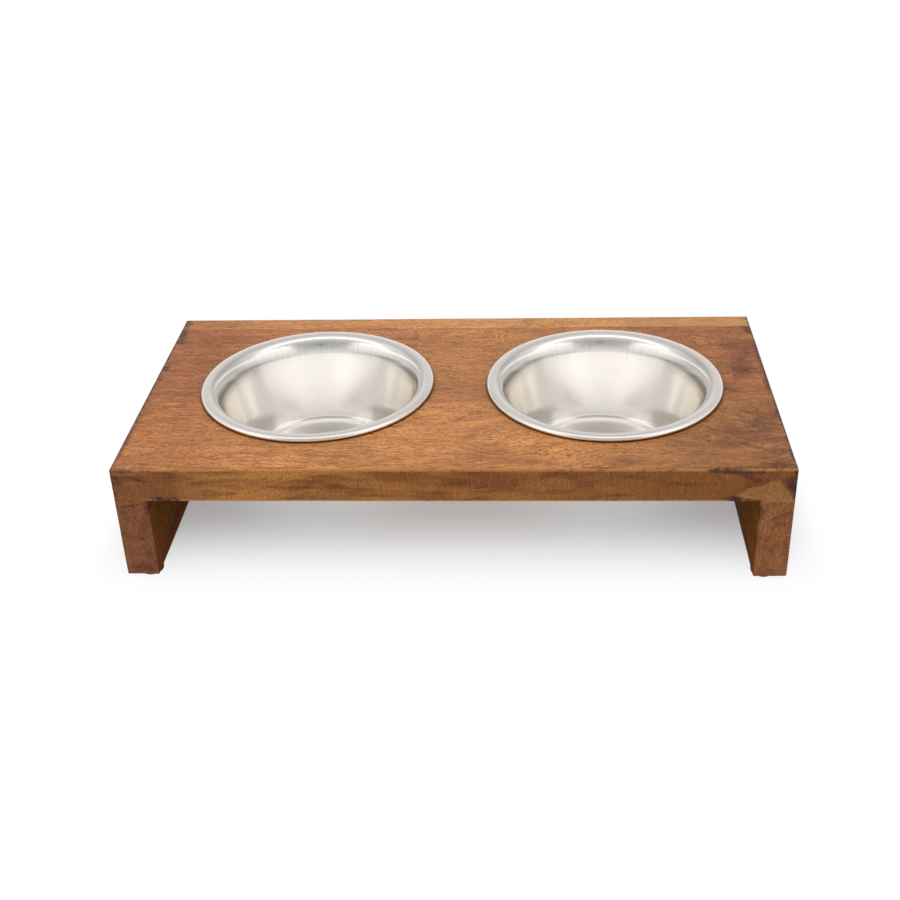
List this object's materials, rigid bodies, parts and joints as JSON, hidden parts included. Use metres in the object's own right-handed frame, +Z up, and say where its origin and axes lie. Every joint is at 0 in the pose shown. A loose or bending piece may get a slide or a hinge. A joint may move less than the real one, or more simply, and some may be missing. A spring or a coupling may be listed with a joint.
{
  "type": "raised pet feeder",
  "caption": "Low wooden bench with two plank legs and two round cut-outs, holding drop-in stainless steel bowls with wide rolled rims, on small rubber feet.",
  "frame": {"origin": "on the floor, under the middle of the bench", "axes": "+X to the right along the length, +Y to the rear, +Z up"},
  "size_m": [0.355, 0.185, 0.0713],
  "materials": {
    "top_wood": "satin, stained orange-brown hardwood",
    "leg_wood": "satin, stained brown hardwood",
    "dowel_wood": "raw beech",
    "bowl_steel": "brushed rim, polished inside",
    "foot_rubber": "matte black"
  },
  "bodies": {
    "bench": {"top_stave_front": "top_wood", "top_stave_left": "top_wood", "top_stave_middle": "top_wood", "top_stave_right": "top_wood", "top_strip_left": "top_wood", "top_strip_right": "top_wood", "leg_left": "leg_wood", "leg_right": "leg_wood", "dowel_left_front": "dowel_wood", "dowel_left_middle": "dowel_wood", "dowel_left_rear": "dowel_wood", "dowel_right_front": "dowel_wood", "dowel_right_middle": "dowel_wood", "dowel_right_rear": "dowel_wood", "foot_front_left": "foot_rubber", "foot_front_right": "foot_rubber", "foot_rear_left": "foot_rubber", "foot_rear_right": "foot_rubber"},
    "left_bowl": {"bowl_left": "bowl_steel"},
    "right_bowl": {"bowl_right": "bowl_steel"}
  },
  "joints": [
    {"name": "bowl_left_lift", "type": "slide", "parent": "bench", "child": "left_bowl", "axis": [0, 0, 1], "range_m": [0, 0.06]},
    {"name": "bowl_right_lift", "type": "slide", "parent": "bench", "child": "right_bowl", "axis": [0, 0, 1], "range_m": [0, 0.06]}
  ]
}
